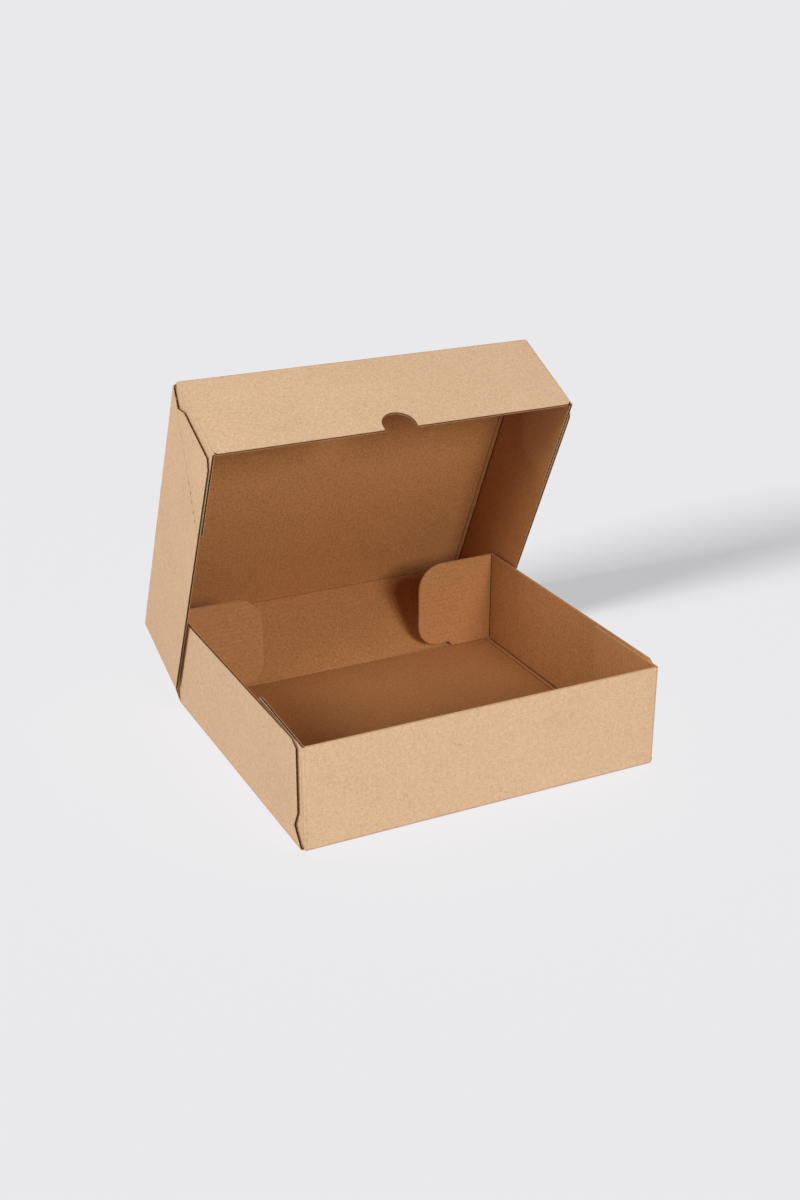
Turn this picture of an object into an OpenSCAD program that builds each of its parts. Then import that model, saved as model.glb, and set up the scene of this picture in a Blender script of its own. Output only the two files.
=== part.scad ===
// Folding mailer box of corrugated board: a tray and a deep lid cut from one sheet,
// with glued front corners, a back wall that folds at both edges, and two loose rear flaps.
// Millimetres, +Z up, origin at the middle of the tray's underside.

/* [Board] */
// Thickness of the corrugated board
board = 1.6; // [1.2:0.1:3]

/* [Tray] */
// Width over the side walls
tray_w = 233; // [170:1:400]
// Length from the front wall's face to the back wall's face, folded up
tray_l = 206; // [170:1:400]
// Height of the side walls
tray_h = 65.5; // [50:0.5:120]
// How much lower the front wall ends than the side walls
front_drop = 0.8; // [0:0.1:3]
// How far the back wall's ends stay inside the side walls' faces
back_inset = 0.6; // [0.2:0.1:3]

/* [Lid] */
// Room between the lid's glued tabs and the tray's side walls
lid_side_fit = 0.4; // [0.3:0.1:3]
// Room between the lid's front and the tray's front wall
lid_front_fit = 3; // [1:0.1:6]
// Room between the lid top and the tray's side walls
lid_top_fit = 0.3; // [0.2:0.1:2]
// Height of the lid's open edge above the table when shut
lid_reveal = 2.4; // [0.5:0.1:10]
// How far the rear edge of the lid's side walls runs forward at the open edge
lid_rear_taper = 5; // [0:0.5:15]
// Width of the thumb notch in the lid's front
thumb_w = 22; // [16:1:40]
// Depth of the thumb notch
thumb_depth = 14; // [12:0.5:30]
// Radius of the lid front's two open corners
front_corner_r = 3; // [1:0.5:8]

/* [Glued front corners] */
// Length of the glue tabs
tab_l = 66; // [30:1:80]
// Height at which a tab's slanting edge reaches its rear end
tab_rise = 33; // [10:1:40]
// Radius of the tab's rear corner
tab_r = 12; // [2:1:16]
// Slit between a tab and the panel it stands on
tab_slit = 0.5; // [0.2:0.1:2]
// Set-back of the side wall's front edge from the front wall's face
edge_back = 6; // [3:0.5:12]
// Depth of the relief cut at the foot of that edge
relief_back = 11; // [8:0.5:20]
// Height of the relief cut's deepest point
relief_up = 12; // [6:0.5:16]
// Height at which the relief cut meets the straight edge
relief_top = 22; // [18:0.5:30]
// Length of the clipped corner at the edge's far end
clip_l = 6; // [1:0.5:10]
// Height of the clipped corner
clip_h = 3.5; // [1:0.5:8]

/* [Rear flaps] */
// Length of a flap from its fold to its tip
flap_l = 57; // [52:1:62]
// Radius of the flap's upper corner
flap_top_r = 18; // [4:1:24]
// Radius of the flap's lower corner
flap_low_r = 15; // [4:1:20]
// Height of the flap's lower edge above the floor
flap_lift = 4; // [1:0.5:12]
// Length of the toe beside the fold
toe_l = 30; // [10:1:34]
// Room under the toe
toe_fit = 0.5; // [0.3:0.1:2]
// Room between the folded flaps and the closed back wall
flap_fit = 0.3; // [0.3:0.1:2]

/* [Creases] */
// Room left in a crease between the panels that turn there
crease_fit = 0.15; // [0.1:0.05:0.5]

/* [Pose] */
// Lean of the back wall from upright
back_tilt = 58; // [0:1:90]
// Room for the lid's front to pass the tray's front wall as it swings
swing_fit = 0.6; // [0.3:0.1:3]
// Inward turn of the right rear flap
right_turn = 1; // [0:1:80]
// Inward turn of the left rear flap
left_turn = 1; // [0:1:80]

/* [Hidden] */
$fn = 64;
arc_steps = 12;
over = 1;

kraft = [0.80, 0.66, 0.50];
kraft_inside = [0.66, 0.50, 0.35];

// Crease between the floor and the back wall, and between the back wall and the lid top
crease_y = tray_l / 2 - board / 2;
floor_crease_z = board / 2;
lid_crease_z = tray_h + lid_top_fit + board / 2;
back_w = tray_w - 2 * back_inset;
back_rise = lid_crease_z - floor_crease_z;
crease_r = board / 2;
crease_clear_r = crease_r + crease_fit;

// Rear flaps turn about the inner edge of their folds
flap_x = tray_w / 2 - board;
flap_y = tray_l / 2 - 2 * board - flap_fit;
flap_low = board + flap_lift;
toe_low = board + toe_fit;
toe_slope = flap_low - toe_low;

// Lid in its shut place
lid_w = tray_w + 2 * lid_side_fit + 4 * board;
lid_front_y = -tray_l / 2 - lid_front_fit - board;
lid_top_z = lid_crease_z + board / 2;
lid_depth = lid_top_z - lid_reveal;
lid_run = crease_y - lid_front_y;
thumb_r = thumb_w / 2;

// Lift of the lid at its crease that lets its front pass the tray's front wall
front_reach = crease_y + tray_l / 2;
front_rise = tray_h - front_drop - floor_crease_z;
swing_need = norm([front_reach, front_rise]) - front_reach - lid_front_fit + swing_fit;
lid_lift = asin(swing_need / back_rise);

// Points along an arc from one angle to another
function arc(centre, r, from, to) = [
    for (i = [0 : arc_steps])
        let (turn = from + (to - from) * i / arc_steps)
            centre + r * [cos(turn), sin(turn)]
];

// A (y, z) outline run along x
module along_x(x0, x1) {
    translate([x0, 0, 0])
        rotate([90, 0, 90])
            linear_extrude(x1 - x0)
                children();
}

// An (x, z) outline run along y
module along_y(y0, y1) {
    translate([0, y1, 0])
        rotate([90, 0, 0])
            linear_extrude(y1 - y0)
                children();
}

// A box between two corners
module block(low, high) {
    translate(low)
        cube(high - low);
}

// A quarter of a disc, in the quadrant that sx and sy give
module quarter(sx, sy) {
    intersection() {
        circle(board);
        scale([sx, sy])
            square(board);
    }
}

module both_sides() {
    children();
    mirror([1, 0, 0])
        children();
}

// Side wall seen from the right, y back from the front wall's face, z up from the main panel's face
module side_outline(run, rise, taper) {
    polygon([
        [board, board],
        [relief_back, relief_up],
        [edge_back, relief_top],
        [edge_back, rise - clip_h],
        [edge_back + clip_l, rise],
        [run - taper, rise],
        [run, board]
    ]);
}

// Glue tab in the same view: a slanting edge over the main panel, turned up into the rear end
module tab_outline(rise) {
    low = board + tab_slit;
    slope = atan2(tab_rise - low, tab_l - board);
    arc_y = tab_l - tab_r;
    arc_z = low + (arc_y - board) * tan(slope) + tab_r / cos(slope);
    polygon(concat(
        [[board, low]],
        arc([arc_y, arc_z], tab_r, slope - 90, 0),
        [[tab_l, rise], [board, rise]]
    ));
}

// Main panel with its front and two sides folded up, and the front's tabs glued inside the sides
module folded_box(width, panel_run, wall_run, rise, front_rise, taper) {
    side_in = width / 2 - board;
    front_in = side_in - board;
    block([-side_in, board, 0], [side_in, panel_run, board]);
    along_x(-front_in, front_in)
        translate([board, board])
            quarter(-1, -1);
    block([-front_in, 0, board], [front_in, board, front_rise]);
    both_sides() {
        along_y(board, wall_run)
            translate([side_in, board])
                quarter(1, -1);
        along_x(side_in, width / 2)
            side_outline(wall_run, rise, taper);
        along_x(front_in, side_in)
            tab_outline(front_rise);
        translate([front_in, board, board + tab_slit])
            linear_extrude(front_rise - board - tab_slit)
                quarter(1, -1);
    }
}

module tray() {
    color(kraft) {
        translate([0, -tray_l / 2, 0])
            folded_box(tray_w, tray_l - board / 2, flap_y + tray_l / 2, tray_h, tray_h - front_drop, 0);
        // Rear strip of the floor, rounded over at the crease
        block([-back_w / 2, flap_y + board, 0], [back_w / 2, crease_y, board]);
        along_x(-back_w / 2, back_w / 2)
            translate([crease_y, floor_crease_z])
                circle(crease_r);
        // Round outside of the folds that carry the rear flaps, rooted in the side walls
        both_sides()
            translate([flap_x, flap_y, toe_low])
                linear_extrude(tray_h - toe_low) {
                    quarter(1, 1);
                    translate([0, -board])
                        square(board);
                }
    }
}

// Back wall as it stands when shut: hollowed over the floor's crease, rounded at the lid's
module back_wall_upright() {
    difference() {
        union() {
            block([-back_w / 2, crease_y - crease_r, floor_crease_z], [back_w / 2, crease_y + crease_r, lid_crease_z]);
            along_x(-back_w / 2, back_w / 2)
                translate([crease_y, lid_crease_z])
                    circle(crease_r);
        }
        along_x(-tray_w / 2, tray_w / 2)
            translate([crease_y, floor_crease_z]) {
                circle(crease_clear_r);
                translate([-board, -board])
                    square([board, board + crease_clear_r]);
            }
    }
}

// Lid as it lies when shut
module lid_shut() {
    difference() {
        translate([0, lid_front_y, lid_top_z])
            mirror([0, 0, 1])
                folded_box(lid_w, lid_run, lid_run, lid_depth, lid_depth, lid_rear_taper);
        lid_crease_hollow();
        thumb_notch();
        both_sides()
            front_corner();
    }
}

// Room for the back wall's rounded edge
module lid_crease_hollow() {
    along_x(-lid_w / 2 + board, lid_w / 2 - board)
        translate([crease_y, lid_crease_z]) {
            circle(crease_clear_r);
            translate([-crease_clear_r, -board])
                square([crease_clear_r + over, board]);
        }
}

// Round-ended notch in the open edge of the lid's front
module thumb_notch() {
    along_y(lid_front_y - over, lid_front_y + board + over)
        translate([0, lid_reveal])
            polygon(concat(
                [[thumb_r, -over]],
                arc([0, thumb_depth - thumb_r], thumb_r, 0, 180),
                [[-thumb_r, -over]]
            ));
}

// Corner of the lid front's open edge, left over when it is rounded
module front_corner() {
    along_y(lid_front_y - over, lid_front_y + board)
        translate([lid_w / 2 - board, lid_reveal])
            polygon(concat(
                [[-front_corner_r, -over], [over, -over], [over, front_corner_r]],
                arc([-front_corner_r, front_corner_r], front_corner_r, 0, -90)
            ));
}

// Turns what stands at the floor's crease back by an angle
module lean(angle) {
    translate([0, crease_y, floor_crease_z])
        rotate([-angle, 0, 0])
            translate([0, -crease_y, -floor_crease_z])
                children();
}

// Turns what hangs at the lid's crease up by an angle
module lift(angle) {
    translate([0, crease_y, lid_crease_z])
        rotate([-angle, 0, 0])
            translate([0, -crease_y, -lid_crease_z])
                children();
}

module back_wall() {
    color(kraft_inside)
        lean(back_tilt)
            back_wall_upright();
}

module lid() {
    color(kraft)
        lean(back_tilt)
            lift(lid_lift)
                lid_shut();
}

// Rear flap in its own plane, x inwards from the fold, z up: round tip, toe beside the fold
module flap_outline() {
    polygon(concat(
        [[crease_fit, toe_low], [toe_l, toe_low], [toe_l + toe_slope, flap_low]],
        arc([flap_l - flap_low_r, flap_low + flap_low_r], flap_low_r, -90, 0),
        arc([flap_l - flap_top_r, tray_h - flap_top_r], flap_top_r, 0, 90),
        [[crease_fit, tray_h]]
    ));
}

// Rear flap on the left, folded inwards and turned further by an angle
module rear_flap(turn) {
    color(kraft_inside)
        translate([-flap_x, flap_y, 0])
            rotate([0, 0, -turn])
                along_y(0, board)
                    flap_outline();
}

module rear_flap_left() {
    rear_flap(left_turn);
}

module rear_flap_right() {
    mirror([1, 0, 0])
        rear_flap(right_turn);
}

tray();
back_wall();
lid();
rear_flap_left();
rear_flap_right();
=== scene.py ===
"""Looks of a folding mailer box of corrugated kraft board.

The board has two liners and a fluted medium, and is creased, folded and glued.
"""

import math

import bmesh
import bpy
import numpy as np
from bpy.props import FloatProperty, FloatVectorProperty, IntProperty, PointerProperty
from bpy.types import Operator, Panel, PropertyGroup
from mathutils import Matrix, Vector


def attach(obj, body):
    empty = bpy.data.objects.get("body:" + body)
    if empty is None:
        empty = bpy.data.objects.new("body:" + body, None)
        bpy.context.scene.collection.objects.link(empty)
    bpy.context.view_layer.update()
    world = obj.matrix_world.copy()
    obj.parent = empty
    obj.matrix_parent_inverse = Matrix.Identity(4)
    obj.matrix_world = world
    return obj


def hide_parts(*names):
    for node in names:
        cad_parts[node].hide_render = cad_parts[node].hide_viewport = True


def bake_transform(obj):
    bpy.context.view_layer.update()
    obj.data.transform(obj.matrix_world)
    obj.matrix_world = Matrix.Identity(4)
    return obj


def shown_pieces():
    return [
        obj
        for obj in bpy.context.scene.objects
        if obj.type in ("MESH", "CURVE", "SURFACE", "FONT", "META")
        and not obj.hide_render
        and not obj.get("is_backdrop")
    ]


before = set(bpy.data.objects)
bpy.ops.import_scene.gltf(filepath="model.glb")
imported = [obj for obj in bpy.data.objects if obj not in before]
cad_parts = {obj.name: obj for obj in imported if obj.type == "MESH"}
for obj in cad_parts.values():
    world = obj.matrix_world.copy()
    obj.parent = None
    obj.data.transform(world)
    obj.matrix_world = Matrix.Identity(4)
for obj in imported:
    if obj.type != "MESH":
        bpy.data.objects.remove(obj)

bl_info = {
    "name": "Mailer box",
    "version": (1, 0, 0),
    "blender": (4, 5, 0),
    "location": "View3D > Sidebar > Mailer box",
    "description": "Builds a folding mailer box of corrugated board",
    "category": "Object",
}

# Papers of the board: the medium's, crease and fold papers hold painted shade, and the edge paper
# and the tabs' paper hold painted light
PAPERS = ("outside", "inside", "flute", "edge", "crease", "fold", "ribbed")
OUTSIDE, INSIDE, SHADED_FLUTE, LIT_EDGE, RUB_AND_SHADE, SHADED_FOLD, RIBBED_LIT = range(len(PAPERS))
X, Y, Z = Vector((1, 0, 0)), Vector((0, 1, 0)), Vector((0, 0, 1))

# Distances in metres below which the mesh operations take points as one
WELD = 1e-5
SLIVER = 2e-6
CUT = 1e-6
FINE_CUT = 1e-7
# Gap that keeps the medium and the pressed edges off the liners' faces
HAIR = 1e-5
# Decimals that tell two places apart
DECIMALS = 7
# Cosines above which two normals count as one, and a face as the end of a strip
SAME_WAY = 0.9995
END_WAY = 0.9
# Flattest bend that is mitred
MITRE = 0.05
# Straight pieces across a bead and in the arcs of the cut outlines
BEAD_STEPS = 6
ARC_STEPS = 12
CORNER_STEPS = 8
NOTCH_STEPS = 24

# Speckle, streaks and washboard of the papers, where they aren't plain; the washboard share is
# painted light and shade in stripes along the flutes
PLAIN = 1.0, 0.2, 0.0
FINISH = {
    "outside": (1.0, 0.2, 0.005),
    "inside": (1.45, 0.9, 0.025),
    "ribbed": (1.1, 0.8, 0.045),
}
# Scale, detail and roughness of the noises in the paper
CLOUD = 26.0, 4.0, 0.6
FORMATION = 520.0, 3.0, 0.6
FIBRE = 2600.0, 3.0, 0.6
GRAIN = 1300.0, 2.0, 0.6
DARK_FLECK = 620.0, 1.0, 0.5
PALE_FLECK = 900.0, 1.0, 0.5
DRIFT = 14.0, 2.0, 0.55
# Bands that pick the flecks and the strong washboard out of a noise
DARK_BAND = 0.70, 0.76, 0.0, 1.0
PALE_BAND = 0.70, 0.77, 0.0, 1.0
DRIFT_BAND = 0.35, 0.65, 0.35, 1.0
# How much each of them changes the paper's tone
CLOUD_TONE = 0.14
FORMATION_TONE = 0.42
GRAIN_TONE = 0.8
DARK_TONE = 0.24
PALE_TONE = 0.10
# How the tone acts on red and on blue, green being plain
RED_POWER = 0.85
BLUE_POWER = 1.25
# Squeeze that draws the fibres out along the flutes
FIBRE_SQUEEZE = 1.0, 0.16, 1.0
# Relief of the paper's surface
FIBRE_RELIEF = 0.5
GRAIN_RELIEF = 0.5
WASHBOARD_RELIEF = 0.3
BUMP_STRENGTH = 0.35
BUMP_DISTANCE = 0.00008
ROUGHNESS = 0.86
SPECULAR = 0.25

# Lamps that light the board, with their places, powers and widths
LAMPS = {
    "key": ("frontal light", (0.14, -1.5, 0.77), 17.14, 0.55),
    "left": ("low left light", (-1.6, -0.12, 0.25), 5.57, 0.5),
    "top": ("high left light", (-1.3, -0.35, 0.95), 10.79, 0.6),
    "rear": ("rear light", (-0.1, 1.0, 1.9), 11.31, 0.6),
    "back": ("low rear light", (0.2, 1.75, 0.5), 3.13, 0.8),
    "right": ("right light", (1.5, 0.7, 0.5), 10.88, 0.8),
}
# Point that the lamps look at
AIM = Vector((0, 0, 0.08))
SENSOR = 36
CLIP_START = 0.01
# Half the width of the stage's floor, and how far it lies below the box
FLOOR_HALF = 60.0
FLOOR_DROP = 0.0002


def length(name, description, default):
    return FloatProperty(
        name=name, description=description, default=default, unit="LENGTH", precision=5
    )


def angle(name, description, degrees):
    return FloatProperty(
        name=name, description=description, default=math.radians(degrees), unit="ROTATION"
    )


def amount(name, description, default):
    return FloatProperty(name=name, description=description, default=default)


def count(name, description, default, low):
    return IntProperty(name=name, description=description, default=default, min=low)


def point(name, description, default):
    return FloatVectorProperty(name=name, description=description, default=default, subtype="XYZ")


def colour(name, description, *rgb):
    return FloatVectorProperty(
        name=name, description=description, default=(*rgb, 1), size=4, subtype="COLOR", min=0, max=1
    )


def lamp_settings(name, words, place, power, width):
    """Settings of one lamp: its place, its power and its width."""
    title = name.title()
    return {
        name + "_at": point(title + " place", "Place of the " + words, place),
        name: amount(title, "Power of the " + words, power),
        name + "_size": length(title + " size", "Width of the " + words, width),
    }


class MailerSizes(PropertyGroup):
    """Sizes of the folded board, as in the CAD source."""

    board: length("Board", "Thickness of the corrugated board", 0.0016)
    tray_w: length("Tray width", "Width over the side walls", 0.233)
    tray_l: length("Tray length", "Length from the front wall to the back wall", 0.206)
    tray_h: length("Tray height", "Height of the side walls", 0.0655)
    front_drop: length("Front drop", "How much lower the front wall ends", 0.0008)
    back_inset: length("Back inset", "How far the back wall stays inside the side walls", 0.0006)
    lid_side_fit: length("Lid side fit", "Room beside the tray", 0.0004)
    lid_front_fit: length("Lid front fit", "Room before the tray", 0.003)
    lid_top_fit: length("Lid top fit", "Room over the tray", 0.0003)
    lid_reveal: length("Lid reveal", "Height of the lid's open edge when shut", 0.0024)
    lid_rear_taper: length("Lid rear taper", "Run of the lid side walls' rear edge", 0.005)
    thumb_w: length("Thumb width", "Width of the thumb notch", 0.022)
    thumb_depth: length("Thumb depth", "Depth of the thumb notch", 0.014)
    front_corner_r: length("Front corner", "Radius of the lid front's open corners", 0.003)
    tab_l: length("Tab length", "Length of the glue tabs", 0.066)
    tab_rise: length("Tab rise", "Height of the tab's slanting edge", 0.033)
    tab_r: length("Tab radius", "Radius of the tab's rear corner", 0.012)
    tab_slit: length("Tab slit", "Slit under a tab", 0.0005)
    edge_back: length("Edge set-back", "Set-back of the side wall's front edge", 0.006)
    relief_back: length("Relief depth", "Depth of the relief cut", 0.011)
    relief_up: length("Relief height", "Height of the relief cut's deepest point", 0.012)
    relief_top: length("Relief top", "Height where the relief cut ends", 0.022)
    clip_l: length("Clip length", "Length of the clipped corner", 0.006)
    clip_h: length("Clip height", "Height of the clipped corner", 0.0035)
    flap_l: length("Flap length", "Length of a rear flap", 0.057)
    flap_top_r: length("Flap top radius", "Radius of the flap's upper corner", 0.018)
    flap_low_r: length("Flap low radius", "Radius of the flap's lower corner", 0.015)
    flap_lift: length("Flap lift", "Height of the flap's lower edge", 0.004)
    toe_l: length("Toe length", "Length of the flap's toe", 0.03)
    toe_fit: length("Toe fit", "Room under the toe", 0.0005)
    flap_fit: length("Flap fit", "Room behind the flaps", 0.0003)
    swing_fit: length("Swing fit", "Room for the lid's front to pass the tray", 0.0006)
    back_tilt: angle("Back tilt", "Lean of the back wall", 58)
    right_turn: angle("Right turn", "Inward turn of the right rear flap", 1)
    left_turn: angle("Left turn", "Inward turn of the left rear flap", 1)


class MailerBoard(PropertyGroup):
    """Make-up of the corrugated board and its small faults."""

    liner: length("Liner", "Thickness of each liner", 0.00026)
    medium: length("Medium", "Thickness of the fluted medium", 0.00016)
    pitch: length("Flute pitch", "Length of one wave of the medium", 0.0033)
    wave_steps: count("Wave steps", "Straight pieces in one wave", 10, 6)
    fold_steps: count("Fold steps", "Straight pieces in a fold", 5, 2)
    glue: length("Glue", "Gap between a tab and its wall", 0.0001)
    splay_left: angle("Left splay", "Turn of the tray's left tab away from its wall", 1.4)
    splay_right: angle("Right splay", "Turn of the tray's right tab away from its wall", 0.8)
    score_start: length("Score start", "Where the lid's slanting score leaves the crease", 0.0008)
    score_depth: length("Score depth", "Depth of that pressed line", 0.00014)
    # The line's rubbed bottom takes the crease paper: rubbed paper and painted shade
    score_line: length("Score line", "Half the width of that line's rubbed bottom", 0.0001)
    score_w: length("Score width", "Half the width of that line and its slits", 0.00055)
    slit_first: length("First slit", "Place of the first slit along that line", 0.0565)
    slit_step: length("Slit step", "Step from slit to slit", 0.0057)
    slit_l: length("Slit length", "Length of a slit", 0.002)
    slit_count: count("Slits", "Number of slits", 5, 0)
    bead_w: length("Bead width", "Width of the bead inside a crease", 0.0032)
    bead_h: length("Bead height", "Height of that bead", 0.0004)
    bead_share: amount("Bead share", "Share of the room under the lid for a bead", 0.8)
    groove_w: length("Groove width", "Width of the grooves beside the bead", 0.0004)
    groove_d: length("Groove depth", "Depth of the grooves beside the bead", 0.0001)
    foot_back: length("Foot set-back", "Set-back of a side wall's foot from the front", 0.0028)
    tab_skew: length("Tab skew", "How much higher a tray tab's rear end sits", 0.0009)
    crease_gap: length("Crease gap", "Set-back of a panel from its crease strip", 0.00005)
    floor_bulge: length("Floor bulge", "Swelling inside the crease at the floor", 0.0005)
    lid_bulge: length("Lid bulge", "Swelling inside the crease at the lid", 0.0003)
    flap_root: length("Flap root", "Where a flap's board starts beside its fold", 0.0006)
    crush: length("Crush", "Set-back of the flutes from a closed edge", 0.0003)


class MailerPaper(PropertyGroup):
    """Colours of the kraft paper."""

    outside: colour("Outside", "Outer liner", 0.676, 0.446, 0.274)
    inside: colour("Inside", "Inner liner", 0.475, 0.214, 0.0745)
    # Painted shade: the fluted medium is painted near black, far darker than its own brown paper,
    # for the hollows of the flutes at cut edges
    flute: colour("Flute", "Fluted medium", 0.078, 0.042, 0.0235)
    # Cut edges of the liners: paler paper, lightened further as painted highlight where light
    # catches the thin edges
    edge: colour("Edge", "Cut edges of the liners", 0.597, 0.362, 0.19)
    # Crease paper: rubbed paper and painted shade, put in creases, grooves, pressed lines and
    # shaded cut edges
    crease: colour("Crease", "Rubbed paper in the creases", 0.145, 0.061, 0.0222)
    # Painted shade: the outer liner over a fold is painted darker than the outside paper, to even
    # out the light that the rounded fold catches
    fold: colour("Fold", "Outer liner stretched over a fold", 0.563, 0.373, 0.23)
    # Painted light: the inner liner of the tabs and flaps is painted a little lighter and paler
    # than the walls' inside paper, for the light they catch, with a stronger washboard
    ribbed: colour("Ribbed", "Inner liner of the tabs and flaps", 0.497, 0.227, 0.083)


class MailerStage(PropertyGroup):
    """Camera, floor and lights."""

    camera_at: point("Camera", "Place of the camera", (-0.39978, -0.79691, 0.46858))
    camera_turn: FloatVectorProperty(
        name="Camera turn",
        description="Turn of the camera",
        default=tuple(math.radians(a) for a in (67.0047, -0.0741, -26.2763)),
        subtype="EULER",
    )
    lens: amount("Lens", "Focal length on a 36 mm sensor", 47.551)
    backdrop: colour("Backdrop", "Colour behind the floor", 0.813, 0.815, 0.8316)
    floor_shade: colour("Floor shade", "Floor in the lid's shadow", 0.508, 0.508, 0.52)
    floor_seen: colour("Floor", "Floor under the light that casts the shadow", 0.2, 0.2, 0.204)
    floor_bounce: colour("Floor bounce", "Floor as the board sees it", 0.4, 0.4, 0.4)
    fill: amount("Fill", "Strength of the even light", 0.104)
    shade_at: point("Shade place", "Direction of the light that casts the shadow", (-1.88, -0.6, 1))
    shade: amount("Shade", "Strength of that light", 10.6)
    shade_size: angle("Shade size", "Softness of the lid's shadow", 13)


for lamp in LAMPS:
    MailerStage.__annotations__.update(lamp_settings(lamp, *LAMPS[lamp]))


class Box:
    """Derived sizes of the folded box."""

    def __init__(self, s):
        b = s.board
        self.half = b / 2
        self.crease_y = s.tray_l / 2 - b / 2
        self.floor_crease = Vector((0, self.crease_y, b / 2))
        self.lid_crease = Vector((0, self.crease_y, s.tray_h + s.lid_top_fit + b / 2))
        self.back_w = s.tray_w - 2 * s.back_inset
        self.flap_x = s.tray_w / 2 - b
        self.flap_y = s.tray_l / 2 - 2 * b - s.flap_fit
        self.lid_w = s.tray_w + 2 * s.lid_side_fit + 4 * b
        self.lid_front_y = -s.tray_l / 2 - s.lid_front_fit - b
        self.lid_top = self.lid_crease.z + b / 2
        self.lid_depth = self.lid_top - s.lid_reveal
        self.lid_run = self.crease_y - self.lid_front_y
        reach = self.crease_y + s.tray_l / 2
        rise = s.tray_h - s.front_drop - b / 2
        need = math.hypot(reach, rise) - reach - s.lid_front_fit + s.swing_fit
        self.lift = math.asin(need / (self.lid_crease.z - self.floor_crease.z))
        self.lean = s.back_tilt

    def lean_matrix(self):
        return turn_about(self.floor_crease, X, -self.lean)

    def lid_matrix(self):
        return self.lean_matrix() @ turn_about(self.lid_crease, X, -self.lift)


def settings(context):
    """Sizes and make-up of the board, and the box that they give."""
    sizes = context.scene.mailer_sizes
    return sizes, context.scene.mailer_board, Box(sizes)


class Sheet:
    """Frame of a flat panel: u across the flutes, v along them, n from outer to inner face."""

    def __init__(self, origin, u, v, n, outline):
        self.origin = Vector(origin)
        self.u, self.v, self.n = Vector(u), Vector(v), Vector(n)
        self.outline = outline

    def at(self, u, v, w=0.0):
        return self.origin + self.u * u + self.v * v + self.n * w

    def moved(self, matrix):
        turn = matrix.to_3x3()
        return Sheet(
            matrix @ self.origin, turn @ self.u, turn @ self.v, turn @ self.n, self.outline
        )


def turn_about(centre, axis, turn):
    there, back = Matrix.Translation(centre), Matrix.Translation(-centre)
    return there @ Matrix.Rotation(turn, 4, axis) @ back


def arc(centre, radius, start, stop, steps=ARC_STEPS):
    """Points along an arc, with angles in degrees."""
    turns = [math.radians(start + (stop - start) * i / steps) for i in range(steps + 1)]
    return [(centre[0] + radius * math.cos(t), centre[1] + radius * math.sin(t)) for t in turns]


def loop_of(points):
    """Pairs of neighbours round a closed outline."""
    return zip(points, points[1:] + points[:1])


def span(outline, u):
    """Lowest and highest v of an outline at one u."""
    hits = []
    for (u0, v0), (u1, v1) in loop_of(outline):
        if min(u0, u1) <= u <= max(u0, u1) and u0 != u1:
            hits.append(v0 + (v1 - v0) * (u - u0) / (u1 - u0))
    return min(hits), max(hits)


def cut(bm, faces, at, normal, dist):
    """Cuts some faces along a plane."""
    around = dict.fromkeys(g for f in faces for g in (*f.verts, *f.edges))
    bmesh.ops.bisect_plane(bm, geom=[*around, *faces], dist=dist, plane_co=at, plane_no=normal)


def thicken(bm, faces, depth):
    """Gives an open skin its thickness, away from its faces' normals, with true mitres.
    Returns the faces of the cut edges."""

    def spot(v):
        return tuple(round(c, DECIMALS) for c in v.co)

    bm.normal_update()
    faces = list(faces)
    shift = {}
    for v in {v for f in faces for v in f.verts}:
        normals = []
        for f in v.link_faces:
            if not any(f.normal.dot(n) > SAME_WAY for n in normals):
                normals.append(f.normal.copy())
        rows = np.array(normals)
        shift[spot(v)] = Vector(np.linalg.pinv(rows, rcond=MITRE) @ np.full(len(rows), -depth))
    before = set(bm.faces)
    grown = bmesh.ops.extrude_face_region(bm, geom=faces)["geom"]
    caps = {g for g in grown if isinstance(g, bmesh.types.BMFace)}
    for g in grown:
        if isinstance(g, bmesh.types.BMVert):
            g.co += shift[spot(g)]
    rims = [f for f in bm.faces if f not in before and f not in caps]
    bmesh.ops.recalc_face_normals(bm, faces=list(bm.faces))
    return rims


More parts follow.
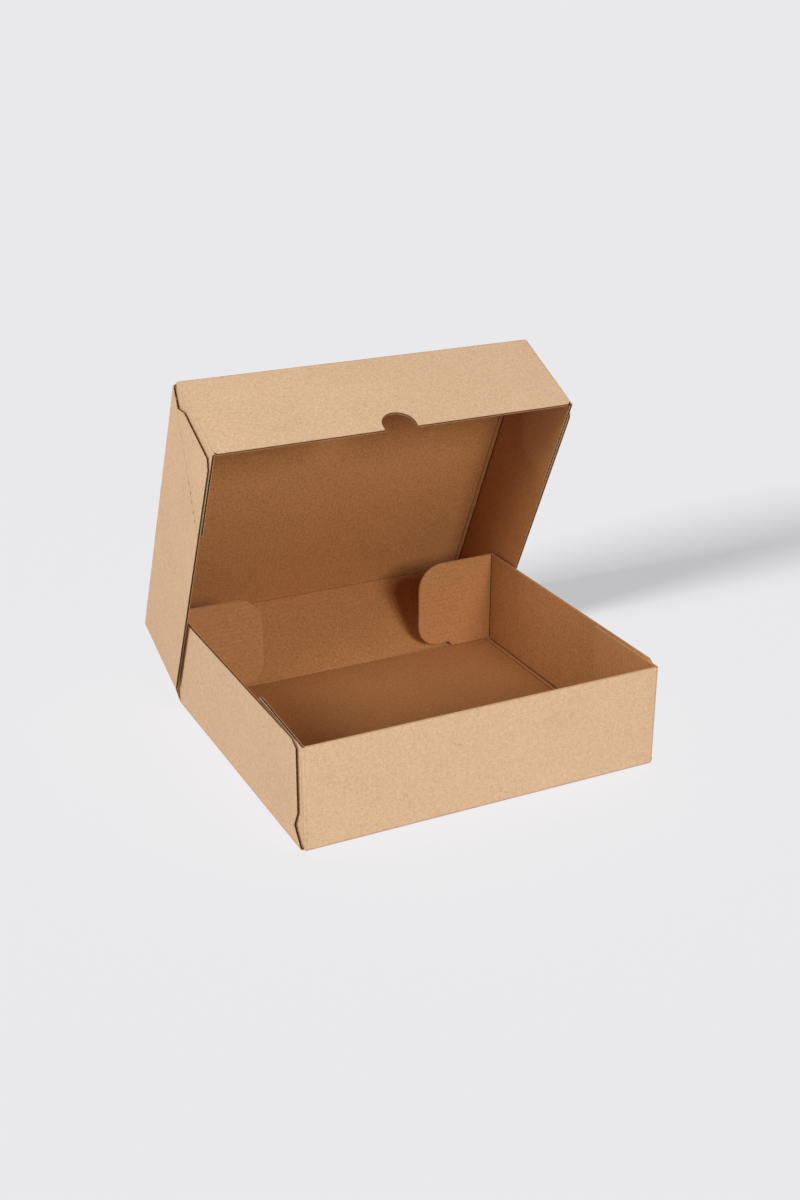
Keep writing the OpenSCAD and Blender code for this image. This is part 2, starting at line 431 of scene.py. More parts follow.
class Board:
    """Collects the panels and folds of one piece of board and turns them into a mesh."""

    def __init__(self, sizes, make):
        self.b = sizes.board
        self.make = make
        self.sheets = []
        self.outer, outer_id = self.skin()
        self.inner, inner_id = self.skin()
        # Mesh and sheet layer of each liner, its height in the board and the way into the board
        self.liners = (self.outer, outer_id, 0, 1), (self.inner, inner_id, self.b, -1)
        self.creases = []
        self.scores = []
        self.closed = {}
        # Sheets whose inner liner takes the lighter tab paper, as painted light
        self.ribbed = set()
        self.bead = make.bead_h

    def skin(self):
        """Returns a new mesh whose faces know their paper and sheet, and its sheet layer."""
        bm = bmesh.new()
        bm.faces.layers.int.new("paper")
        return bm, bm.faces.layers.int.new("sheet")

    def panel(self, sheet):
        """Adds a flat panel to both liners and returns its number."""
        self.sheets.append(sheet)
        number = len(self.sheets) - 1
        for bm, layer, w, inward in self.liners:
            face = bm.faces.new([bm.verts.new(sheet.at(u, v, w)) for u, v in sheet.outline])
            face.normal_update()
            if face.normal.dot(sheet.n) * inward > 0:
                face.normal_flip()
            face[layer] = number
        return number

    def fold(self, first, second, start, stop):
        """Rounds the outer liner over a crease line, between two panels at a right angle."""
        a, c = self.sheets[first], self.sheets[second]
        edge = [p - a.n * self.b for p in (start, stop)]
        self.rounded(first, edge, start, a.n.cross(c.n))
        self.creases.append((first, second, start, c.n.copy(), a.n.copy()))

    def rounded(self, number, points, centre, axis):
        """Turns a line of the outer liner a right angle about an axis."""
        bm, layer, _, _ = self.liners[0]
        paper = bm.faces.layers.int["paper"]
        ends = [bm.verts.new(p) for p in points]
        line = [bm.edges.new(pair) for pair in zip(ends, ends[1:])]
        before = set(bm.faces)
        bmesh.ops.spin(
            bm, geom=ends + line, cent=centre, axis=axis, angle=math.pi / 2,
            steps=self.make.fold_steps, use_duplicate=False,
        )
        for face in set(bm.faces) - before:
            face.normal_update()
            out = face.calc_center_median() - centre
            if face.normal.dot(out - out.project(axis)) < 0:
                face.normal_flip()
            face[layer] = number
            # Painted shade on the rounded fold
            face[paper] = SHADED_FOLD
            face.smooth = True

    def relief(self):
        """Presses the inner liner along each crease: a root in the corner, and a bead with
        its groove on the first panel. The root and the groove take the dark crease paper, as rubbed
        paper and painted shade."""
        make = self.make
        bm, layer, _, _ = self.liners[1]
        paper = bm.faces.layers.int["paper"]
        parts = [i / BEAD_STEPS for i in range(BEAD_STEPS + 1)]
        groove, ends = make.groove_w, 3 * make.groove_w
        bead = [(make.bead_w * i, self.bead * math.sin(math.pi * i)) for i in parts]
        bead += [(make.bead_w + groove, -make.groove_d), (make.bead_w + ends, 0.0)]
        root = [(0.0, 0.0), (groove, -make.groove_d), (ends, 0.0)]
        sides = []
        for first, second, at, along_first, along_second in self.creases:
            sides.append((first, at, along_first, bead))
            sides.append((second, at, along_second, root))
        for number, at, away, profile in sides:
            for step, _ in profile[1:]:
                cut(bm, [f for f in bm.faces if f[layer] == number], at + away * step, away, CUT)
        for f in bm.faces:
            for number, at, away, profile in sides:
                if number == f[layer]:
                    d = (f.calc_center_median() - at).dot(away)
                    in_groove = profile is bead and 0 < d - make.bead_w < groove
                    # Root and groove take the crease paper: rubbed paper and painted shade
                    if d < profile[1][0] or in_groove:
                        f[paper] = RUB_AND_SHADE
        shift = {}
        for v in bm.verts:
            shift[v] = Vector((0, 0, 0))
            owners = {f[layer] for f in v.link_faces}
            for number, at, away, profile in sides:
                if number in owners:
                    rise = np.interp((v.co - at).dot(away), *zip(*profile), right=0.0)
                    shift[v] += self.sheets[number].n * float(rise)
        for v, d in shift.items():
            v.co += d

    def crushed(self, bm, layer, number):
        """Adds the face of a cut edge that the die has pressed shut, between the two liners.
        Returns its faces."""
        sheet, inset = self.sheets[number], self.make.liner + HAIR
        area = sum(u0 * v1 - u1 * v0 for (u0, v0), (u1, v1) in loop_of(sheet.outline))
        turn = 1 if area > 0 else -1
        points, material = self.closed[number]
        low, high = (
            [bm.verts.new(sheet.at(u, v, w)) for u, v in points] for w in (inset, self.b - inset)
        )
        faces = []
        for i, ((u0, v0), (u1, v1)) in enumerate(zip(points, points[1:])):
            face = bm.faces.new((low[i], low[i + 1], high[i + 1], high[i]))
            face.normal_update()
            if face.normal.dot(sheet.u * (v1 - v0) - sheet.v * (u1 - u0)) * turn < 0:
                face.normal_flip()
            face[layer] = number
            face.material_index = material
            faces.append(face)
        return faces

    def press(self):
        """Presses the scored lines and cuts their slits through both liners."""
        for score in self.scores:
            for liner in self.liners:
                self.press_line(*score, *liner)

    def press_line(self, number, start, stop, slits, bm, layer, w, inward):
        """Presses one scored line into one liner and cuts its slits."""
        sheet, make = self.sheets[number], self.make
        width, line = make.score_w, make.score_line
        paper = bm.faces.layers.int["paper"]
        p, q = sheet.at(*start, w), sheet.at(*stop, w)
        run, along = (q - p).length, (q - p).normalized()
        side = along.cross(sheet.n)

        def near(reach):
            for f in bm.faces:
                if f[layer] == number and abs((f.calc_center_median() - p).dot(side)) < reach:
                    yield f

        for offset in (-width, -line, 0, line, width):
            cut(bm, list(near(math.inf)), p + side * offset, side, FINE_CUT)
        for place in slits:
            for end in (place - make.slit_l / 2, place + make.slit_l / 2):
                cut(bm, list(near(width)), p + along * end, along, FINE_CUT)
        gone = []
        for f in near(width):
            d = f.calc_center_median() - p
            if any(abs(d.dot(along) - place) < make.slit_l / 2 for place in slits):
                gone.append(f)
            # The pressed line's bottom takes the crease paper: rubbed paper and painted shade
            elif abs(d.dot(side)) < line and 0 < d.dot(along) < run:
                f[paper] = RUB_AND_SHADE
        bmesh.ops.delete(bm, geom=gone, context="FACES")
        for v in bm.verts:
            d = v.co - p
            on_line = abs(d.dot(side)) < CUT and 0 < d.dot(along) < run
            if on_line and any(f[layer] == number for f in v.link_faces):
                v.co += sheet.n * inward * make.score_depth

    def flutes(self, bm, layer, number):
        """Adds the medium of one panel: a wave that runs through the outline. Returns its faces."""
        make, sheet = self.make, self.sheets[number]
        closed = number in self.closed
        back = make.crush if closed else 2 * HAIR
        low = min(u for u, _ in sheet.outline) + back
        high = max(u for u, _ in sheet.outline) - back
        steps = max(2, round((high - low) / make.pitch * make.wave_steps))
        before = set(bm.faces)
        grid = bmesh.ops.create_grid(bm, x_segments=steps, y_segments=1, size=0.5)["verts"]
        grid.sort(key=lambda v: (round(v.co.x, DECIMALS), v.co.y))
        swing = (self.b - 2 * make.liner - make.medium) / 2
        for i in range(steps + 1):
            u = low + (high - low) * i / steps
            w = self.b / 2 + swing * math.sin(2 * math.pi * u / make.pitch) + make.medium / 2
            near, far = span(sheet.outline, u)
            grid[2 * i].co = sheet.at(u, near, w)
            grid[2 * i + 1].co = sheet.at(u, far - back if closed else far, w)
        faces = [f for f in bm.faces if f not in before]
        for f in faces:
            f.normal_update()
            if f.normal.dot(sheet.n) < 0:
                f.normal_flip()
            f.smooth = True
            f[layer] = number
        return faces

    def mesh(self, name, bend=None):
        """Joins the liners and the medium into one mesh with its UV map."""
        make = self.make
        for skin in (self.outer, self.inner):
            bmesh.ops.remove_doubles(skin, verts=skin.verts, dist=WELD)
        self.press()
        self.relief()
        for skin, material in ((self.outer, OUTSIDE), (self.inner, INSIDE)):
            bmesh.ops.dissolve_degenerate(skin, dist=SLIVER, edges=skin.edges)
            rims = thicken(skin, skin.faces, make.liner)
            paper, sheet = skin.faces.layers.int["paper"], skin.faces.layers.int["sheet"]
            for f in skin.faces:
                # Tabs and flaps take the lighter tab paper: painted light
                ribbed = material == INSIDE and f[sheet] in self.ribbed
                f.material_index = f[paper] or (RIBBED_LIT if ribbed else material)
            # Cut edges of the liners take the edge paper: paler paper with painted highlight
            for f in rims:
                f.material_index = LIT_EDGE
                f.smooth = False
        medium, _ = self.skin()
        for number in range(len(self.sheets)):
            part, layer = self.skin()
            thicken(part, self.flutes(part, layer, number), make.medium)
            # Painted shade: the whole medium takes the near-black paper of the flute hollows
            for f in part.faces:
                f.material_index = SHADED_FLUTE
            self.absorb(medium, part)
            if number in self.closed:
                part, layer = self.skin()
                thicken(part, self.crushed(part, layer, number), make.medium)
                self.absorb(medium, part)
        bm = bmesh.new()
        for skin in (self.outer, self.inner, medium):
            self.absorb(bm, skin)
        layer = bm.faces.layers.int["sheet"]
        uv = bm.loops.layers.uv.new("Board")
        for f in bm.faces:
            sheet = self.sheets[f[layer]]
            for loop in f.loops:
                d = loop.vert.co - sheet.origin
                loop[uv].uv = (d.dot(sheet.u), d.dot(sheet.v))
        if bend:
            bend(bm, layer)
        whole = bpy.data.meshes.new(name)
        bm.to_mesh(whole)
        bm.free()
        return whole

    def absorb(self, bm, other):
        """Moves the content of one mesh into another."""
        step = bpy.data.meshes.new("step")
        other.to_mesh(step)
        other.free()
        bm.from_mesh(step)
        bpy.data.meshes.remove(step)


def tab_outline(sizes, low, rise, skew):
    """Glue tab: a slanting edge over the main panel, turned up into the rear end."""
    b, r = sizes.board, sizes.tab_r
    slope = math.atan2(sizes.tab_rise - low, sizes.tab_l - b)
    arc_y = sizes.tab_l - r
    arc_z = low + (arc_y - b) * math.tan(slope) + r / math.cos(slope)
    corner = arc((arc_y, arc_z), r, math.degrees(slope) - 90, 0)
    return [(b, low)] + corner + [(sizes.tab_l, rise + skew), (b, rise)]


def side_outline(sizes, make, run, fold_end, rise, taper):
    """Side wall with its relief cut and clipped corner at the front."""
    b = sizes.board
    tail = [(b, fold_end)] if run > fold_end else []
    return [
        (b, make.foot_back),
        (sizes.relief_up, sizes.relief_back),
        (sizes.relief_top, sizes.edge_back),
        (rise - sizes.clip_h, sizes.edge_back),
        (rise, sizes.edge_back + sizes.clip_l),
        (rise, run - taper),
        (b, run),
    ] + tail


def folded_box(
    sizes, make, width, run, wall_run, rise, front_rise, taper, place, skew, front_top=None
):
    """Main panel with its front and two sides folded up and the front's tabs glued inside them.
    Built with y back from the front's face and z up from the main panel's face, then placed.
    Returns the board and the numbers of its sides and tabs."""
    b = sizes.board
    board = Board(sizes, make)
    side_in = width / 2 - b
    front_in = side_in - b - make.glue
    low = b + sizes.tab_slit
    fold_end = min(wall_run, run)
    turn = place.to_3x3()

    def add(origin, u, v, n, outline):
        return board.panel(Sheet(origin, u, v, n, outline).moved(place))

    def fold(first, second, start, stop):
        board.fold(first, second, place @ Vector(start), place @ Vector(stop))

    edge = [(side_in, make.foot_back), (side_in, fold_end)]
    edge += [(side_in, run)] if run > fold_end else []
    mirrored = [(-x, y) for x, y in reversed(edge)]
    floor = add((0, 0, 0), X, Y, Z, [(-front_in, b), (front_in, b)] + edge + mirrored)
    top = front_top or [(front_in, front_rise), (-front_in, front_rise)]
    foot = [(-front_in, b), (front_in, b), (front_in, low)]
    front = add((0, 0, 0), X, Z, Y, foot + top + [(-front_in, low)])
    # The lid front's pressed-shut edge takes the crease paper as painted shade, and the tray
    # front's takes the edge paper
    board.closed[front] = top, RUB_AND_SHADE if front_top else LIT_EDGE
    fold(floor, front, (-front_in, b, b), (front_in, b, b))
    wall = side_outline(sizes, make, wall_run, fold_end, rise, taper)
    tab = tab_outline(sizes, low, front_rise, skew)
    bend = [math.pi / 2 * i / make.fold_steps for i in range(make.fold_steps + 1)]
    numbers = {}
    for name, s in (("right", 1), ("left", -1)):
        side = add((s * width / 2, 0, 0), Z, Y, -s * X, wall)
        flap = add((s * (front_in + b), 0, 0), Y, Z, -s * X, tab)
        fold(floor, side, (s * side_in, make.foot_back, b), (s * side_in, fold_end, b))
        fold(front, flap, (s * front_in, b, low), (s * front_in, b, front_rise))
        board.ribbed.add(flap)
        numbers["side_" + name], numbers["tab_" + name] = side, flap
        # Rounded corner where the two folds meet, and the short fold between it and the tab's slit
        centre = place @ Vector((s * front_in, b, b))
        ahead, aside, down = turn @ -Y, turn @ (s * X), turn @ -Z
        axis = ahead.cross(aside)
        ball = [centre + (down * math.cos(t) + ahead * math.sin(t)) * b for t in bend]
        stub = [centre + ahead * b, centre + ahead * b - down * sizes.tab_slit]
        for line in (ball, stub):
            board.rounded(front, line, centre, axis)
    return board, numbers


def add_piece(name, mesh, body, *nodes):
    """Links a finished mesh as a piece that rides on a CAD body and stands for its nodes."""
    for paper in PAPERS:
        mesh.materials.append(bpy.data.materials["kraft_" + paper])
    piece = bpy.data.objects.new(name, mesh)
    bpy.context.scene.collection.objects.link(piece)
    if body:
        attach(piece, body)
    if nodes:
        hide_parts(*nodes)
    return piece


class MAILER_OT_paper(Operator):
    """Makes the kraft papers"""

    bl_idname = "mailer.paper"
    bl_label = "Kraft papers"

    def execute(self, context):
        colours = context.scene.mailer_paper
        pitch = context.scene.mailer_board.pitch
        for paper in PAPERS:
            speckle, streaks, ribs = FINISH.get(paper, PLAIN)
            kraft("kraft_" + paper, getattr(colours, paper), speckle, streaks, ribs, pitch)
        return {"FINISHED"}


def kraft(name, base, speckle, streaks, ribs, pitch):
    """Unbleached paper: cloudy formation, long fibres, dark and pale flecks, and the washboard of
    the flutes below, as a bump and as painted light and shade in stripes."""
    mat = bpy.data.materials.new(name)
    mat.use_nodes = True
    tree = mat.node_tree
    tree.nodes.clear()
    link = tree.links.new

    def node(kind, **values):
        n = tree.nodes.new(kind)
        for key, value in values.items():
            setattr(n, key, value)
        return n

    def maths(operation, a, b):
        n = node("ShaderNodeMath", operation=operation)
        for socket, value in zip(n.inputs, (a, b)):
            if isinstance(value, (int, float)):
                socket.default_value = value
            else:
                link(value, socket)
        return n.outputs[0]

    def added(total, value, share):
        return maths("ADD", total, maths("MULTIPLY", value, share))

    def noise(vector, scale, detail, rough):
        n = node("ShaderNodeTexNoise")
        for key, number in (("Scale", scale), ("Detail", detail), ("Roughness", rough)):
            n.inputs[key].default_value = number
        link(vector, n.inputs["Vector"])
        return n.outputs["Fac"]

    def band(value, *ends):
        n = node("ShaderNodeMapRange", interpolation_type="SMOOTHSTEP")
        for key, number in zip(("From Min", "From Max", "To Min", "To Max"), ends):
            n.inputs[key].default_value = number
        link(value, n.inputs["Value"])
        return n.outputs["Result"]

    coords = node("ShaderNodeTexCoord").outputs["Object"]
    board = node("ShaderNodeUVMap", uv_map="Board").outputs["UV"]
    stretch = node("ShaderNodeMapping")
    stretch.inputs["Scale"].default_value = FIBRE_SQUEEZE
    link(board, stretch.inputs["Vector"])
    along = stretch.outputs["Vector"]
    fibre, grain = noise(along, *FIBRE), noise(coords, *GRAIN)

    tone = 1.0
    for value, share in (
        (noise(coords, *CLOUD), CLOUD_TONE),
        (noise(coords, *FORMATION), FORMATION_TONE * speckle),
        (fibre, streaks),
        (grain, GRAIN_TONE * speckle),
    ):
        tone = added(tone, maths("SUBTRACT", value, 0.5), share)
    tone = added(tone, band(noise(coords, *DARK_FLECK), *DARK_BAND), -DARK_TONE)
    tone = added(tone, band(noise(along, *PALE_FLECK), *PALE_BAND), PALE_TONE)
    height = added(maths("MULTIPLY", fibre, FIBRE_RELIEF), grain, GRAIN_RELIEF)
    # Washboard: a bump, and painted light and shade in stripes along the flutes
    if ribs:
        split = node("ShaderNodeSeparateXYZ")
        link(board, split.inputs["Vector"])
        wave = maths("SINE", maths("MULTIPLY", split.outputs["X"], 2 * math.pi / pitch), 0.0)
        washboard = maths("MULTIPLY", wave, band(noise(coords, *DRIFT), *DRIFT_BAND))
        tone = added(tone, washboard, ribs)
        height = added(height, washboard, WASHBOARD_RELIEF)

    shade = node("ShaderNodeCombineColor")
    link(maths("POWER", tone, RED_POWER), shade.inputs["Red"])
    link(tone, shade.inputs["Green"])
    link(maths("POWER", tone, BLUE_POWER), shade.inputs["Blue"])
    tint = node("ShaderNodeMix", data_type="RGBA", blend_type="MULTIPLY")
    tint.inputs["Factor"].default_value = 1.0
    tint.inputs["A"].default_value = base
    link(shade.outputs["Color"], tint.inputs["B"])

    bump = node("ShaderNodeBump")
    bump.inputs["Strength"].default_value = BUMP_STRENGTH
    bump.inputs["Distance"].default_value = BUMP_DISTANCE
    link(height, bump.inputs["Height"])

    surface = node("ShaderNodeBsdfPrincipled")
    surface.inputs["Roughness"].default_value = ROUGHNESS
    surface.inputs["Specular IOR Level"].default_value = SPECULAR
    link(tint.outputs["Result"], surface.inputs["Base Color"])
    link(bump.outputs["Normal"], surface.inputs["Normal"])
    link(surface.outputs["BSDF"], node("ShaderNodeOutputMaterial").inputs["Surface"])


class MAILER_OT_tray(Operator):
    """Builds the tray: floor, front, two sides and two glued tabs"""

    bl_idname = "mailer.tray"
    bl_label = "Tray"

    def execute(self, context):
        s, make, box = settings(context)
        place = Matrix.Translation((0, -s.tray_l / 2, 0))
        run = box.crease_y - box.half + s.tray_l / 2 - make.crease_gap
        wall_run = box.flap_y + s.tray_l / 2
        front_rise = s.tray_h - s.front_drop
        board, numbers = folded_box(
            s, make, s.tray_w, run, wall_run, s.tray_h, front_rise, 0, place, make.tab_skew
        )
        # Top edges that the die has pressed shut, as stretches of their outlines; the left wall's
        # is painted dark with the crease paper, as painted shade
        wall_top, tab_top = slice(3, 6), slice(-2, None)
        for panel, part, paper in (
            ("side_left", wall_top, RUB_AND_SHADE),
            ("side_right", wall_top, INSIDE),
            ("tab_right", tab_top, INSIDE),
        ):
            number = numbers[panel]
            board.closed[number] = board.sheets[number].outline[part], paper

        def bend(bm, layer):
            hinge_x, hinge_y = s.tray_w / 2 - 2 * s.board - make.glue, -s.tray_l / 2 + s.board
            for side, splay in ((-1, make.splay_left), (1, make.splay_right)):
                tab = numbers["tab_right" if side > 0 else "tab_left"]
                verts = {v for f in bm.faces if f[layer] == tab for v in f.verts}
                bmesh.ops.rotate(
                    bm, cent=(side * hinge_x, hinge_y, 0),
                    matrix=Matrix.Rotation(side * splay, 3, "Z"),
                    verts=[v for v in verts if v.co.y > hinge_y + WELD],
                )

        add_piece("tray_board", board.mesh("tray_board", bend), "tray", "tray")
        return {"FINISHED"}


class MAILER_OT_back_wall(Operator):
    """Builds the back wall between the two creases"""

    bl_idname = "mailer.back_wall"
    bl_label = "Back wall"

    def execute(self, context):
        s, make, box = settings(context)
        board = Board(s, make)
        inset = box.half + make.crease_gap
        low, high = box.floor_crease.z + inset, box.lid_crease.z - inset
        half = box.back_w / 2
        outline = [(-half, low), (half, low), (half, high), (-half, high)]
        sheet = Sheet((0, box.crease_y + box.half, 0), X, Z, -Y, outline)
        board.panel(sheet.moved(box.lean_matrix()))
        add_piece("back_board", board.mesh("back_board"), "back_wall", "back_wall")
        return {"FINISHED"}


class MAILER_OT_lid(Operator):
    """Builds the lid with its thumb notch and scored side walls"""

    bl_idname = "mailer.lid"
    bl_label = "Lid"

    def execute(self, context):
        s, make, box = settings(context)
        shut = Matrix.Translation((0, box.lid_front_y, box.lid_top)) @ Matrix.Scale(-1, 4, Z)
        place = box.lid_matrix() @ shut
        run = box.lid_run - box.half - make.crease_gap
        front_in = box.lid_w / 2 - 2 * s.board - make.glue
        rise, r, thumb = box.lid_depth, s.front_corner_r, s.thumb_w / 2
        corner = arc((front_in - r, rise - r), r, 0, 90, CORNER_STEPS)
        centre = (0, rise - s.thumb_depth + thumb)
        notch = [(thumb, rise)] + arc(centre, thumb, 0, -180, NOTCH_STEPS) + [(-thumb, rise)]
        top = corner + notch + [(-u, v) for u, v in reversed(corner)]
        board, numbers = folded_box(
            s, make, box.lid_w, run, box.lid_run, rise, rise, s.lid_rear_taper, place, 0, top
        )
        board.bead = min(make.bead_h, make.bead_share * s.lid_top_fit)
        start = s.board + make.score_start
        slits = [make.slit_first + make.slit_step * i for i in range(make.slit_count)]
        for name in ("side_right", "side_left"):
            board.scores.append((numbers[name], (start, start), (rise, rise), slits))
        add_piece("lid_board", board.mesh("lid_board"), "lid", "lid")
        return {"FINISHED"}


class MAILER_OT_rear_flaps(Operator):
    """Builds the two loose rear flaps"""

    bl_idname = "mailer.rear_flaps"
    bl_label = "Rear flaps"

    def execute(self, context):
        s, make, box = settings(context)
        toe, low = s.board + s.toe_fit, s.board + s.flap_lift
        low_r, top_r = s.flap_low_r, s.flap_top_r
        tip = arc((s.flap_l - low_r, low + low_r), low_r, -90, 0)
        tip += arc((s.flap_l - top_r, s.tray_h - top_r), top_r, 0, 90)
        outline = [(toe, make.flap_root), (toe, s.toe_l), (low, s.toe_l + low - toe)]
        outline += [(z, x) for x, z in tip] + [(s.tray_h, make.flap_root)]
        for name, side, turn in (("left", -1, s.left_turn), ("right", 1, s.right_turn)):
            board = Board(s, make)
            hinge = Vector((side * box.flap_x, box.flap_y, 0))
            sheet = Sheet(hinge + Y * s.board, Z, -side * X, -Y, outline)
            number = board.panel(sheet.moved(turn_about(hinge, Z, side * turn)))
            board.closed[number] = outline, LIT_EDGE
            board.ribbed.add(number)
            node = "rear_flap_" + name
            add_piece("flap_board_" + name, board.mesh("flap_board_" + name), node, node)
        return {"FINISHED"}


def ray(degrees, r):
    """Point at an angle and a distance in the (y, z) plane."""
    t = math.radians(degrees)
    return Vector((0, r * math.cos(t), r * math.sin(t)))


def sweep(start, stop, r, steps, bulge=0.0):
    """Such points from one angle to another, with a swelling half-way."""
    parts = [i / steps for i in range(steps + 1)]
    return [ray(start + (stop - start) * i, r + bulge * math.sin(math.pi * i)) for i in parts]


def crease_piece(name, section, axis, half, paper):
    """A strip of creased board: its section run along the crease.
    The paper of each of its faces comes from the place of the face."""
    bm = bmesh.new()
    ring = [bm.verts.new(p - axis * half) for p in section]
    cap = bm.faces.new(ring)
    grown = bmesh.ops.extrude_face_region(bm, geom=[cap])["geom"]
    far = [g for g in grown if isinstance(g, bmesh.types.BMVert)]
    bmesh.ops.translate(bm, vec=axis * 2 * half, verts=far)
    bmesh.ops.recalc_face_normals(bm, faces=bm.faces)
    uv = bm.loops.layers.uv.new("Board")
    for f in bm.faces:
        is_end = abs(f.normal.dot(axis)) > END_WAY
        f.material_index = LIT_EDGE if is_end else paper(f.calc_center_median())
        f.smooth = not is_end
        for loop in f.loops:
            loop[uv].uv = (loop.vert.co.dot(axis), 0.0)
    mesh = bpy.data.meshes.new(name)
    bm.to_mesh(mesh)
    bm.free()
    piece = add_piece(name, mesh, None)
    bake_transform(piece)


class MAILER_OT_creases(Operator):
    """Builds the creased strips between the panels that move"""

    bl_idname = "mailer.creases"
    bl_label = "Creases"

    def execute(self, context):
        s, make, box = settings(context)
        self.at_floor(box, make)
        self.at_lid(box, make)
        for name, side, turn in (("left", -1, s.left_turn), ("right", 1, s.right_turn)):
            self.at_flap(s, make, box, name, side, turn)
        return {"FINISHED"}

    def at_floor(self, box, make):
        centre, e = box.floor_crease, box.half
        corner, lean = e * math.sqrt(2), math.degrees(box.lean)
        outer = [ray(-135, corner)] + sweep(-90, -lean, e, steps=4) + [ray(45 - lean, corner)]
        inner = sweep(135 - lean, 135, corner, steps=8, bulge=make.floor_bulge)
        inside, behind = ray(135 - lean / 2, 1), ray(45 - lean / 2, 1)
        outer_top = 0.3 * e

        def paper(at):
            d = at - centre
            if d.dot(inside) < outer_top:
                return OUTSIDE
            return LIT_EDGE if d.dot(behind) > 0 else INSIDE

        crease_piece(
            "floor_crease", [centre + p for p in outer + inner], X, box.back_w / 2, paper,
        )

    def at_lid(self, box, make):
        lean, e = box.lean_matrix(), box.half
        turn, centre = lean.to_3x3(), lean @ box.lid_crease
        corner, lift = e * math.sqrt(2), math.degrees(box.lift)
        outer = [ray(-45, corner)] + sweep(0, 90 - lift, e, steps=6) + [ray(135 - lift, corner)]
        inner = sweep(225 - lift, 225, corner, steps=4, bulge=make.lid_bulge)
        inside = turn @ ray(225, 1)
        inner_low = 0.5 * e

        # The crease's inner side takes the crease paper: rubbed paper and painted shade in the
        # corner
        def paper(at):
            return RUB_AND_SHADE if (at - centre).dot(inside) > inner_low else OUTSIDE

        crease_piece(
            "lid_crease_strip", [centre + turn @ p for p in outer + inner], X, box.back_w / 2,
            paper,
        )

    def at_flap(self, s, make, box, name, side, turn):
        toe, b = s.board + s.toe_fit, s.board
        hinge = Vector((side * box.flap_x, box.flap_y, (toe + s.tray_h) / 2))
        round_fold = arc((0, 0), b, 0, 90 + math.degrees(turn), steps=8)
        section = [hinge + Vector((side * x, y, 0)) for x, y in round_fold]
        out = section[-1] - hinge
        root = out.normalized().cross(Z) * -side * make.flap_root
        neck, heel, outer_low = 0.4, 0.3, 0.9 * b
        tongue = [hinge + out + root, hinge + out * neck + root, hinge + out * heel]

        # The fold's root takes the crease paper: rubbed paper and painted shade
        def paper(at):
            return OUTSIDE if (at - hinge).length > outer_low else RUB_AND_SHADE

        crease_piece(
            "flap_crease_" + name, section + tongue + [hinge], Z, (s.tray_h - toe) / 2, paper,
        )


class MAILER_OT_stage(Operator):
    """Sets the floor, lights and camera"""

    bl_idname = "mailer.stage"
    bl_label = "Stage"

    def execute(self, context):
        scene, g = context.scene, context.scene.mailer_stage
        scene.view_settings.view_transform = "Standard"
        board, lid, ground = (bpy.data.collections.new(n) for n in ("board", "lid", "ground"))
        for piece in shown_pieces():
            board.objects.link(piece)
            if piece.name.startswith(("lid", "back")):
                lid.objects.link(piece)
        ground.objects.link(floor_plane(g))
        studio(scene, g)
        for lamp in LAMPS:
            light(g, lamp, "AREA", board)
        light(g, "shade", "SUN", ground).light_linking.blocker_collection = lid
        lens = bpy.data.cameras.new("camera")
        lens.sensor_width = SENSOR
        lens.lens = g.lens
        lens.clip_start = CLIP_START
        camera = bpy.data.objects.new("camera", lens)
        camera.location = g.camera_at
        camera.rotation_euler = g.camera_turn
        scene.collection.objects.link(camera)
        scene.camera = camera
        return {"FINISHED"}


def light(g, name, kind, lit):
    """A lamp that looks at the box and lights only the objects of one collection."""
    place, power, size = (getattr(g, name + end) for end in ("_at", "", "_size"))
    lamp = bpy.data.lights.new(name, kind)
    lamp.energy = power
    if kind == "AREA":
        lamp.shape = "DISK"
        lamp.size = size
    else:
        lamp.angle = size
    holder = bpy.data.objects.new(name, lamp)
    holder.location = place
    holder.rotation_euler = (AIM - Vector(place)).to_track_quat("-Z", "Y").to_euler()
    holder.light_linking.receiver_collection = lit
    bpy.context.scene.collection.objects.link(holder)
    return holder


def shader(tree, kind, socket, rgba):
    """Adds a shader of one colour and returns its output."""
    n = tree.nodes.new(kind)
    n.inputs["Color"].default_value = rgba
    return n.outputs[socket]


def seen_apart(tree, lit, seen, output):
    """Joins a shader that lights the scene with the one that the camera sees."""
    mix, rays = tree.nodes.new("ShaderNodeMixShader"), tree.nodes.new("ShaderNodeLightPath")
    tree.links.new(rays.outputs["Is Camera Ray"], mix.inputs["Fac"])
    tree.links.new(lit, mix.inputs[1])
    tree.links.new(seen, mix.inputs[2])
    tree.links.new(mix.outputs["Shader"], tree.nodes.new(output).inputs["Surface"])


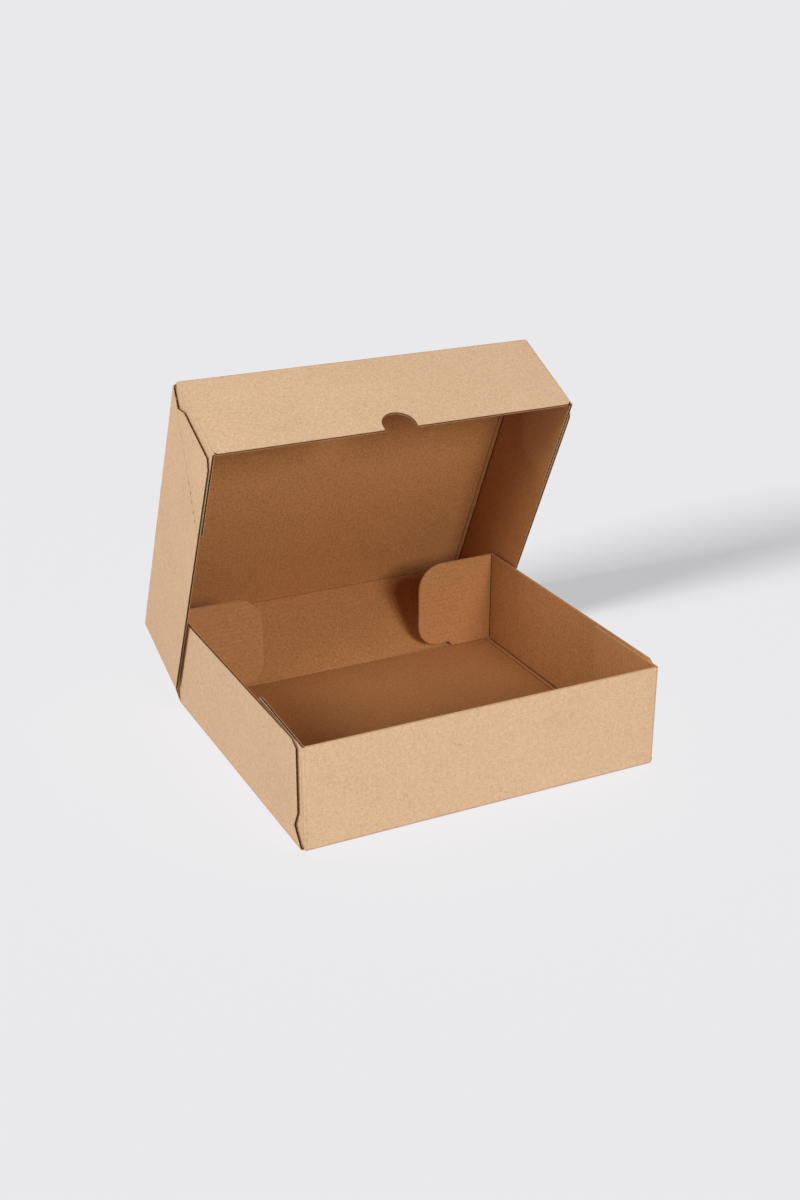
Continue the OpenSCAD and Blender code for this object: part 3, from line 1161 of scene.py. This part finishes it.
def floor_plane(g):
    """A wide plain floor that the camera sees pale and the board sees darker."""
    mesh = bpy.data.meshes.new("floor")
    bm = bmesh.new()
    bmesh.ops.create_grid(bm, x_segments=1, y_segments=1, size=FLOOR_HALF)
    bmesh.ops.translate(bm, vec=(0, 0, -FLOOR_DROP), verts=bm.verts)
    bm.to_mesh(mesh)
    bm.free()
    floor = bpy.data.objects.new("floor", mesh)
    bpy.context.scene.collection.objects.link(floor)
    floor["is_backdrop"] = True
    mat = bpy.data.materials.new("floor")
    mat.use_nodes = True
    tree = mat.node_tree
    tree.nodes.clear()
    both = tree.nodes.new("ShaderNodeAddShader")
    glow = shader(tree, "ShaderNodeEmission", "Emission", g.floor_shade)
    tree.links.new(glow, both.inputs[0])
    tree.links.new(shader(tree, "ShaderNodeBsdfDiffuse", "BSDF", g.floor_seen), both.inputs[1])
    bounced = shader(tree, "ShaderNodeBsdfDiffuse", "BSDF", g.floor_bounce)
    seen_apart(tree, bounced, both.outputs["Shader"], "ShaderNodeOutputMaterial")
    mesh.materials.append(mat)
    return floor


def studio(scene, g):
    """Even light from all round, with a backdrop of the floor's shade behind it."""
    world = bpy.data.worlds.new("studio")
    scene.world = world
    world.use_nodes = True
    tree = world.node_tree
    tree.nodes.clear()
    even = shader(tree, "ShaderNodeBackground", "Background", (1, 1, 1, 1))
    even.node.inputs["Strength"].default_value = g.fill
    seen = shader(tree, "ShaderNodeBackground", "Background", g.backdrop)
    seen_apart(tree, even, seen, "ShaderNodeOutputWorld")


class MAILER_PT_panel(Panel):
    """Sizes, papers and pieces of the mailer box"""

    bl_idname = "MAILER_PT_panel"
    bl_label = "Mailer box"
    bl_space_type = "VIEW_3D"
    bl_region_type = "UI"
    bl_category = "Mailer box"

    def draw(self, context):
        for group in GROUPS:
            values = getattr(context.scene, group)
            column = self.layout.column()
            for name in values.__annotations__:
                column.prop(values, name)
        for step in STEPS:
            self.layout.operator(step.bl_idname)


GROUPS = {
    "mailer_sizes": MailerSizes,
    "mailer_board": MailerBoard,
    "mailer_paper": MailerPaper,
    "mailer_stage": MailerStage,
}
STEPS = (
    MAILER_OT_paper,
    MAILER_OT_tray,
    MAILER_OT_back_wall,
    MAILER_OT_lid,
    MAILER_OT_rear_flaps,
    MAILER_OT_creases,
    MAILER_OT_stage,
)
CLASSES = (*GROUPS.values(), *STEPS, MAILER_PT_panel)


def register():
    for c in CLASSES:
        bpy.utils.register_class(c)
    for name, group in GROUPS.items():
        setattr(bpy.types.Scene, name, PointerProperty(type=group))


def unregister():
    for name in GROUPS:
        delattr(bpy.types.Scene, name)
    for c in reversed(CLASSES):
        bpy.utils.unregister_class(c)


def main():
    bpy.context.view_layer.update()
    register()
    bpy.ops.mailer.paper()
    bpy.ops.mailer.tray()
    bpy.ops.mailer.back_wall()
    bpy.ops.mailer.lid()
    bpy.ops.mailer.rear_flaps()
    bpy.ops.mailer.creases()
    bpy.ops.mailer.stage()


if __name__ == "__main__":
    main()
